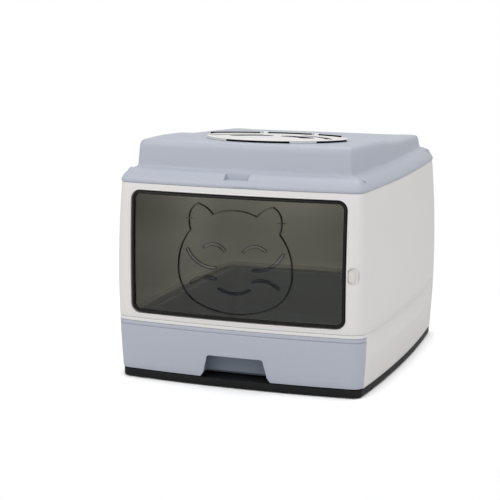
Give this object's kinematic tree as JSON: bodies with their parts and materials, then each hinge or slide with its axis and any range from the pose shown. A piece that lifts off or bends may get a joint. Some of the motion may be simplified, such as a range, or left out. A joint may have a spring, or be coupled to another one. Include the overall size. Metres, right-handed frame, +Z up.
{
  "type": "drawer litter box",
  "caption": "Enclosed white litter box with a smoked front door and cat-head flap, a blue-grey lift-up lid with a round filter hatch, and a blue-grey pull-out drawer",
  "frame": {"origin": "middle of the footprint on the floor, under the crossing of the width and the depth", "axes": "x to the right seen from the front, y to the rear, z up; the door and the drawer front face -y"},
  "size_m": [0.4692, 0.545, 0.4161],
  "materials": {
    "base_black": "satin black moulded plastic",
    "rubber_black": "matte rubber",
    "rail_white": "smooth white plastic",
    "housing_white": "satin white moulded plastic",
    "shell_white": "satin white moulded plastic",
    "trim_white": "satin white moulded plastic",
    "gasket_black": "satin black soft edge",
    "smoke_clear": "smoked clear plastic, polished",
    "flap_smoke": "smoked clear plastic, polished",
    "pin_steel": "plain steel",
    "knob_white": "satin white moulded plastic with ribs",
    "latch_black": "satin black moulded plastic",
    "lid_blue": "satin blue-grey moulded plastic",
    "lid_trim": "satin blue-grey moulded plastic",
    "hatch_white": "satin white moulded plastic",
    "hatch_black": "satin black moulded plastic",
    "filter_black": "black carbon foam",
    "pan_blue": "satin blue-grey moulded plastic",
    "drawer_blue": "satin blue-grey moulded plastic",
    "cup_blue": "satin blue-grey moulded plastic"
  },
  "bodies": {
    "cabinet": {"base_tray": "base_black", "rubber_feet": "rubber_black", "runner_rails": "rail_white", "lower_housing": "housing_white", "upper_shell": "shell_white", "door_surround": "trim_white", "door_sockets": "trim_white", "latch_base": "trim_white"},
    "door": {"door_frame": "gasket_black", "door_pane": "smoke_clear", "door_pins": "pin_steel", "strike_peg": "pin_steel"},
    "flap": {"cat_flap": "flap_smoke", "flap_pins": "pin_steel"},
    "latch": {"latch_knob": "knob_white", "latch_plate": "latch_black"},
    "lid": {"lid_shell": "lid_blue", "lid_hinge_pins": "pin_steel", "corner_studs": "lid_trim", "hatch_seal": "gasket_black", "hatch_rail": "latch_black", "hatch_ears": "lid_trim", "hatch_pins": "pin_steel"},
    "hatch": {"hatch_disc": "hatch_white", "hatch_backing": "hatch_black", "filter_tray": "hatch_black", "carbon_filter": "filter_black"},
    "drawer": {"drawer_pan": "pan_blue", "drawer_front": "drawer_blue", "handle_cup": "cup_blue", "front_screws": "pin_steel"}
  },
  "joints": [
    {"name": "drawer_slide", "type": "slide", "parent": "cabinet", "child": "drawer", "axis": [0, -1, 0], "range_m": [0, 0.38]},
    {"name": "door_swing", "type": "hinge", "parent": "cabinet", "child": "door", "pos_m": [-0.176, -0.2607, 0.1184], "axis": [0, -0.0303, -0.9995], "range_deg": [0, 100]},
    {"name": "flap_swing", "type": "hinge", "parent": "door", "child": "flap", "pos_m": [0, -0.2646, 0.29], "axis": [1, 0, 0], "range_deg": [-75, 75]},
    {"name": "latch_slide", "type": "slide", "parent": "cabinet", "child": "latch", "axis": [1, 0, 0], "range_m": [0, 0.005]},
    {"name": "lid_tilt", "type": "hinge", "parent": "cabinet", "child": "lid", "pos_m": [0, 0.26552, 0.348], "axis": [-1, 0, 0], "range_deg": [0, 95]},
    {"name": "hatch_tilt", "type": "hinge", "parent": "lid", "child": "hatch", "pos_m": [0, 0.02422, 0.40682], "axis": [-1, 0, 0], "range_deg": [0, 100]}
  ]
}
